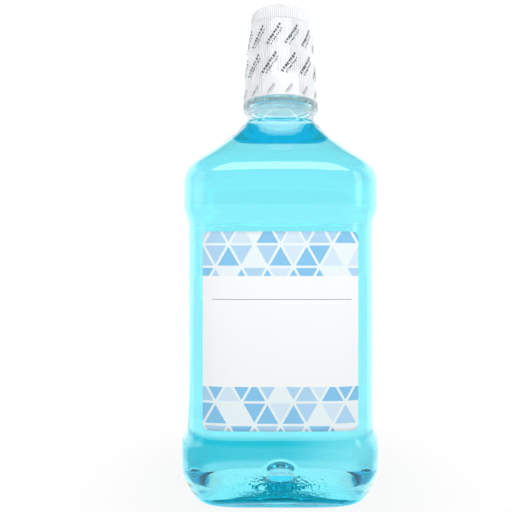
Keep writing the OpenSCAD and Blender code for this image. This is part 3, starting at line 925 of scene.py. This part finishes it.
def markRules(name, sizes):
    # marks in rows on a flat strip, then wrapped round the film
    tree, source, sink = nodeGroup(name, sizes)
    size = source.outputs
    x, y, z = splitXyz(tree, addNode(tree, "GeometryNodeInputPosition").outputs[0])
    steps, rowSteps = [calc(tree, "SUBTRACT", size[key], 1.0) for key in ("Marks round", "Rows")]
    span = calc(tree, "MULTIPLY", 2 * math.pi, calc(tree, "DIVIDE", steps, size["Marks round"]))
    grid = addNode(tree, "GeometryNodeMeshGrid", {"Size X": span, "Size Y": rowSteps,
                   "Vertices X": size["Marks round"], "Vertices Y": size["Rows"]})
    row = calc(tree, "ADD", y, calc(tree, "MULTIPLY", rowSteps, 0.5))
    shift = calc(tree, "DIVIDE", product(tree, row, size["Stagger"], 2 * math.pi), size["Marks round"])
    along = calc(tree, "MULTIPLY", calc(tree, "ADD", x, shift), size["Wall radius"])
    height = calc(tree, "MULTIPLY_ADD", row, size["Row step"], size["First row"])
    laid = addNode(tree, "GeometryNodeSetPosition", {"Geometry": grid.outputs["Mesh"],
                   "Position": joinXyz(tree, along, 0.0, height)})
    tilt = joinXyz(tree, 0.0, calc(tree, "MULTIPLY", size["Slant"], -1.0), 0.0)
    placed = addNode(tree, "GeometryNodeInstanceOnPoints", {"Points": laid.outputs[0],
                     "Instance": source.outputs["Geometry"], "Rotation": tilt, "Scale": size["Scale"]})
    real = addNode(tree, "GeometryNodeRealizeInstances", {0: placed.outputs[0]})
    above = calc(tree, "SUBTRACT", z, size["Wall height"])
    narrower = calc(tree, "ADD", calc(tree, "MULTIPLY", above, size["Wall slope"]),
                    product(tree, above, above, size["Wall curve"]))
    wall = calc(tree, "SUBTRACT", size["Wall radius"], narrower)
    out = calc(tree, "SUBTRACT", calc(tree, "ADD", wall, size["Lift"]), y)
    angle = calc(tree, "DIVIDE", x, size["Wall radius"])
    wrapped = joinXyz(tree, calc(tree, "MULTIPLY", calc(tree, "SINE", angle), out),
                      product(tree, calc(tree, "COSINE", angle), out, -1.0), z)
    moved = addNode(tree, "GeometryNodeSetPosition", {"Geometry": real.outputs[0], "Position": wrapped})
    inked = addNode(tree, "GeometryNodeSetMaterial", {"Geometry": moved.outputs[0],
                                                      "Material": size["Ink"]})
    tree.links.new(inked.outputs[0], sink.inputs[0])
    return tree


for name, sizes, body in (("sleevePrint", sleeveMarks, "sleeve"), ("rimPrint", rimMarks, "sleeve"),
                          ("collarPrint", collarMarks, "bottle")):
    printed = bakeNodes(markMesh(name), markRules(name + "Rows", sizes), sizes)
    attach(printed, body)
print("shrink band: two parts and their print")

labelShape = {"width": 81.3, "height": 103.5, "low": 43.4, "corner": 3.0, "gap": 0.15, "thick": 0.2,
              "across": 64, "up": 48}


def panelDepthAt(x, gap):
    s = bodyShape
    a, b, n = s["panelWidth"] / 2 + gap, s["panelDepth"] / 2 + gap, s["squareness"]
    return b * (1 - (np.abs(x) / a) ** n) ** (1 / n)


def labelMesh():
    # columns from left to right, each a closed ring up the front and down the back
    s = labelShape
    half, r = s["width"] / 2, s["corner"]
    corner = half - r + r * np.sin(quarter(6)[1:])
    xs = np.concatenate([-corner[::-1], np.linspace(-(half - r), half - r, s["across"]), corner])
    up = np.linspace(-1, 1, s["up"])
    mid = s["low"] + s["height"] / 2
    rings = []
    for x in xs:
        over = max(0, abs(x) - (half - r))
        h = s["height"] / 2 - (r - math.sqrt(max(0, r * r - over * over)))
        front = [(x, -panelDepthAt(x, s["gap"] + s["thick"]), mid + h * t) for t in up]
        back = [(x, -panelDepthAt(x, s["gap"]), mid + h * t) for t in up[::-1]]
        rings.append(front + back)
    verts, faces = ringStack(rings, closed=False)
    n = 2 * s["up"]
    for start, flip in ((0, False), (len(verts) - n, True)):
        for k in range(s["up"] - 1):
            quad = [start + k, start + k + 1, start + n - 2 - k, start + n - 1 - k]
            faces.append(quad[::-1] if flip else quad)
    return addPiece("labelSheet", verts, faces, materials["label"])


labelSheet = labelMesh()
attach(labelSheet, "bottle")
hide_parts("front_label")
print("label:", len(labelSheet.data.polygons), "faces")

view = {"distance": 0.300, "height": 0.1342, "lens": 35.16, "sensor": 36, "shift": -0.0479}
cameraData = bpy.data.cameras.new("camera")
cameraData.lens = view["lens"]
cameraData.sensor_width = view["sensor"]
cameraData.shift_x = view["shift"]
cameraData.clip_start = 0.01
camera = bpy.data.objects.new("camera", cameraData)
camera.location = (0, -view["distance"], view["height"])
camera.rotation_euler = (math.pi / 2, 0, 0)
bpy.context.scene.collection.objects.link(camera)
bpy.context.scene.camera = camera

# the names with Through are for what is seen through the clear parts
stage = {
    "floorSize": 3.0, "floorColour": (0.88, 0.89, 0.9, 1), "shadowReach": (0.05, 0.14),
    "shadowFill": 0.88, "tableFrom": -0.038, "tableTo": -0.028, "tableFront": 0.04,
    "tableFrontThrough": 0.9, "tableBack": 1.15,
    "roomFront": 0.03, "roomFrontThrough": 0.3, "roomBack": 1.18, "roomFrom": -0.5, "roomTo": 0.25,
    "ceilingFrom": 0.6, "ceilingTo": 0.8, "ceiling": 0.05, "ceilingThrough": 0.3,
    "ceilingColour": (0.1, 0.75, 0.92, 1),
    # the painted blue shadow on the floor behind the bottle: where it grows, where it fades out, and its
    # edge to the right
    "castFrom": (0.056, 0.07), "castTo": (0.086, 0.1), "castSide": (0.0, 0.055),
    "castLow": 0.5, "castRight": 0.2, "paintedShadowColour": (0.01, 0.62, 0.72, 1),
    # where the painted blue light on the floor under the bottle lies, its soft edge and its colour
    "underMiddle": -0.013, "underHalf": (0.058, 0.054), "underEdge": (0.8, 1.02),
    "paintedUnderBlue": (0.02, 0.72, 0.98, 1), "mostBounces": 40, "glossyBounces": 16, "clearBounces": 16,
}


def throughValue(tree, through, plain, seenThrough):
    # one value for all rays but those that have come through a clear part
    return calc(tree, "MULTIPLY_ADD", through, seenThrough - plain, plain)


def vectorLength(tree, vector):
    return addNode(tree, "ShaderNodeVectorMath", {0: vector}, operation="LENGTH").outputs["Value"]


def floorGlow(tree, path, place):
    # the floor's own light: bright behind and dark in front, as on a table lit from behind
    s = stage
    direct, through = path["Is Camera Ray"], path["Is Transmission Ray"]
    x, y, _ = splitXyz(tree, place)
    behind = softRamp(tree, y, s["tableFrom"], s["tableTo"])
    front = throughValue(tree, through, s["tableFront"], s["tableFrontThrough"])
    strength = blend(tree, "FLOAT", direct, blend(tree, "FLOAT", behind, front, s["tableBack"]), 1.0)
    # painted shadow: the floor behind the bottle, seen through the clear parts, is coloured blue, more
    # to the left, standing in for the blue shadow the bottle throws
    cast = product(tree, softRamp(tree, y, *s["castFrom"], s["castLow"], 1.0),
                   softRamp(tree, y, *s["castTo"], 1.0, 0.0),
                   softRamp(tree, x, *s["castSide"], 1.0, s["castRight"]), behind, through)
    tone = blend(tree, "RGBA", cast, white, s["paintedShadowColour"])
    # painted light: the floor under the bottle, seen through the clear parts, is coloured blue, standing
    # in for light that has come through the liquid
    halfX, halfY = s["underHalf"]
    share = addNode(tree, "ShaderNodeMapping", {"Vector": place, "Scale": (1 / halfX, 1 / halfY, 0),
                                                "Location": (0, -s["underMiddle"] / halfY, 0)})
    within = softRamp(tree, vectorLength(tree, share.outputs[0]), *s["underEdge"], 1.0, 0.0)
    below = blend(tree, "RGBA", calc(tree, "MULTIPLY", within, through), tone, s["paintedUnderBlue"])
    return addNode(tree, "ShaderNodeEmission", {"Color": below, "Strength": strength})


def makeFloor():
    material, tree, shader, output = newMaterial("paleFloor")
    s = stage
    feed(tree, shader, {"Base Color": s["floorColour"], "Roughness": 0.5})
    path = addNode(tree, "ShaderNodeLightPath").outputs
    place = objectPlace(tree)
    # the shadow fades out round the object and the rest of the floor is plain white
    plain = softRamp(tree, vectorLength(tree, place), *s["shadowReach"], s["shadowFill"], 1.0)
    inBottle = calc(tree, "ADD", path["Is Glossy Ray"], path["Is Transmission Ray"], clamp=True)
    glowing = calc(tree, "MAXIMUM", calc(tree, "MULTIPLY", path["Is Camera Ray"], plain), inBottle)
    both = joinShaders(tree, glowing, shader, floorGlow(tree, path, place))
    tree.links.new(both.outputs[0], output.inputs["Surface"])
    size = s["floorSize"]
    mesh = bpy.data.meshes.new("floor")
    corners = [(-size, -size, 0), (size, -size, 0), (size, size, 0), (-size, size, 0)]
    mesh.from_pydata(corners, [], [(0, 1, 2, 3)])
    mesh.materials.append(material)
    floor = bpy.data.objects.new("floor", mesh)
    bpy.context.scene.collection.objects.link(floor)


makeFloor()


def makeWorld():
    world = bpy.data.worlds.new("studio")
    bpy.context.scene.world = world
    world.use_nodes = True
    tree = world.node_tree
    s = stage
    path = addNode(tree, "ShaderNodeLightPath").outputs
    through = path["Is Transmission Ray"]
    _, y, z = splitXyz(tree, addNode(tree, "ShaderNodeTexCoord").outputs["Generated"])
    # white sweep behind the bottle, a dimmer room behind the camera and a dark ceiling
    front = throughValue(tree, through, s["roomFront"], s["roomFrontThrough"])
    behind = softRamp(tree, y, s["roomFrom"], s["roomTo"], front, s["roomBack"])
    above = softRamp(tree, z, s["ceilingFrom"], s["ceilingTo"])
    dim = throughValue(tree, through, s["ceiling"], s["ceilingThrough"])
    room = calc(tree, "MULTIPLY", behind, blend(tree, "FLOAT", above, 1.0, dim))
    # what comes down through the clear parts has been through the liquid too
    tone = blend(tree, "RGBA", calc(tree, "MULTIPLY", above, through), white, s["ceilingColour"])
    strength = calc(tree, "MAXIMUM", room, path["Is Camera Ray"])
    feed(tree, tree.nodes["Background"], {"Color": tone, "Strength": strength})


makeWorld()

lamps = [
    # name, place, aim, width, height, power, whether the clear parts mirror it
    ("rightSoftbox", (0.42, -0.42, 0.30), (0.0, 0.0, 0.16), 0.16, 0.5, 0.2, True),
    ("leftSoftbox", (-0.5, -0.35, 0.30), (0.0, 0.0, 0.14), 0.3, 0.5, 0.2, True),
    ("frontSoftbox", (0.0, -0.42, 0.56), (0.0, 0.0, 0.17), 0.62, 0.16, 0.58, True),
    ("capSoftbox", (0.2, -0.28, 0.42), (0.0, 0.0, 0.28), 0.05, 0.05, 0.38, False),
    ("keySoftbox", (0.0, -0.75, 0.15), (0.0, 0.0, 0.14), 0.25, 0.25, 2.35, False),
]
for name, place, aim, width, height, power, mirrored in lamps:
    data = bpy.data.lights.new(name, "AREA")
    data.shape = "ELLIPSE"
    data.size, data.size_y, data.energy = width, height, power
    lamp = bpy.data.objects.new(name, data)
    lamp.location = place
    lamp.visible_glossy = lamp.visible_transmission = mirrored
    direction = np.array(aim) - np.array(place)
    lamp.rotation_euler = Vector(direction).to_track_quat("-Z", "Y").to_euler()
    bpy.context.scene.collection.objects.link(lamp)

bpy.context.scene.view_settings.view_transform = "Standard"
bounces = bpy.context.scene.cycles
bounces.max_bounces = bounces.transmission_bounces = stage["mostBounces"]
bounces.glossy_bounces = stage["glossyBounces"]
bounces.transparent_max_bounces = stage["clearBounces"]
print("stage: camera, floor, world and lamps")
